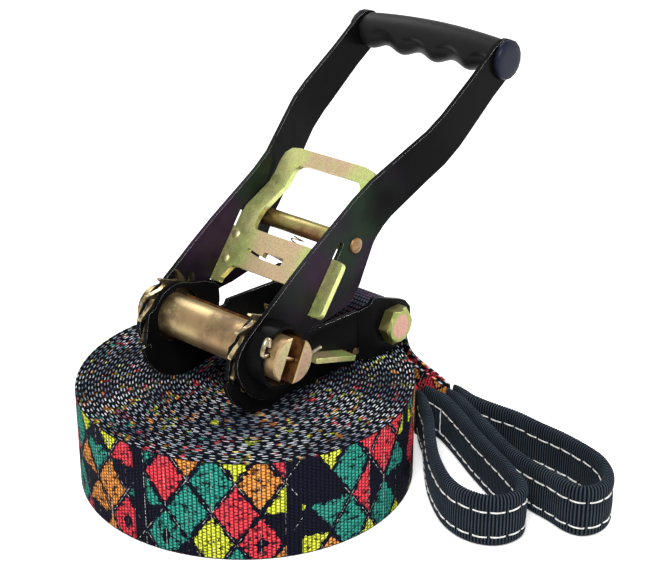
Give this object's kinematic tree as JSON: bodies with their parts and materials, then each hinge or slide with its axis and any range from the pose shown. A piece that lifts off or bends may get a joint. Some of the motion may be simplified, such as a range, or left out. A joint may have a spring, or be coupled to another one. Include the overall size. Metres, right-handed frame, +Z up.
{
  "type": "slackline set",
  "caption": "Webbing roll with sewn end eye, and a long-handled tensioning ratchet with its own sewn strap eye on top.",
  "frame": {"origin": "axis of the webbing roll where it stands on the floor", "axes": "+X from the ratchet's spindle to its anchor bolt, +Y to the far end of the spindle, +Z up"},
  "size_m": [0.2231, 0.244, 0.1965],
  "materials": {
    "printed_webbing": "matte printed weave",
    "sleeve_webbing": "matte ribbed weave",
    "black_steel": "semi-gloss black",
    "yellow_zinc": "yellow passivated zinc",
    "bronze_zinc": "bronze passivated zinc",
    "spring_steel": "bright wire",
    "grip_rubber": "satin",
    "cap_plastic": "satin"
  },
  "bodies": {
    "frame": {"line_roll": "printed_webbing", "line_tail": "printed_webbing", "line_eye": "sleeve_webbing", "strap_bolt_loop": "printed_webbing", "strap_eye": "sleeve_webbing", "frame_plate_near": "black_steel", "frame_plate_far": "black_steel", "anchor_bolt": "yellow_zinc", "anchor_nut": "yellow_zinc", "bolt_sleeve": "bronze_zinc", "lock_stop_bar": "bronze_zinc"},
    "lock": {"lock_plate": "bronze_zinc", "lock_spring": "spring_steel"},
    "spindle": {"half_moon_front": "bronze_zinc", "half_moon_rear": "bronze_zinc", "ratchet_wheel_near": "bronze_zinc", "ratchet_wheel_far": "bronze_zinc", "spindle_washer_near": "black_steel", "spindle_washer_far": "black_steel", "cotter_near": "spring_steel", "cotter_far": "spring_steel"},
    "handle": {"handle_plate_near": "black_steel", "handle_plate_far": "black_steel", "grip": "grip_rubber", "grip_rod": "spring_steel", "grip_cap_near": "cap_plastic", "grip_cap_far": "cap_plastic", "cross_bar": "bronze_zinc"},
    "pawl": {"pawl_plate": "yellow_zinc", "pawl_spring": "spring_steel"}
  },
  "joints": [
    {"name": "handle_swing", "type": "hinge", "parent": "frame", "child": "handle", "pos_m": [-0.023, -0.0024, 0.0823], "axis": [0, -1, 0], "range_deg": [-17, 150]},
    {"name": "spindle_turn", "type": "hinge", "parent": "frame", "child": "spindle", "pos_m": [-0.023, -0.0024, 0.0823], "axis": [0, -1, 0], "continuous": true},
    {"name": "pawl_slide", "type": "slide", "parent": "handle", "child": "pawl", "axis": [0.6018, 0, 0.7986], "range_m": [0, 0.008], "stiffness_N_per_m": 1200, "springref_m": -0.008, "deforming": ["pawl_spring"]},
    {"name": "lock_slide", "type": "slide", "parent": "frame", "child": "lock", "axis": [0.9558, 0, -0.294], "range_m": [0, 0.005], "stiffness_N_per_m": 1500, "springref_m": -0.006, "deforming": ["lock_spring"]}
  ]
}
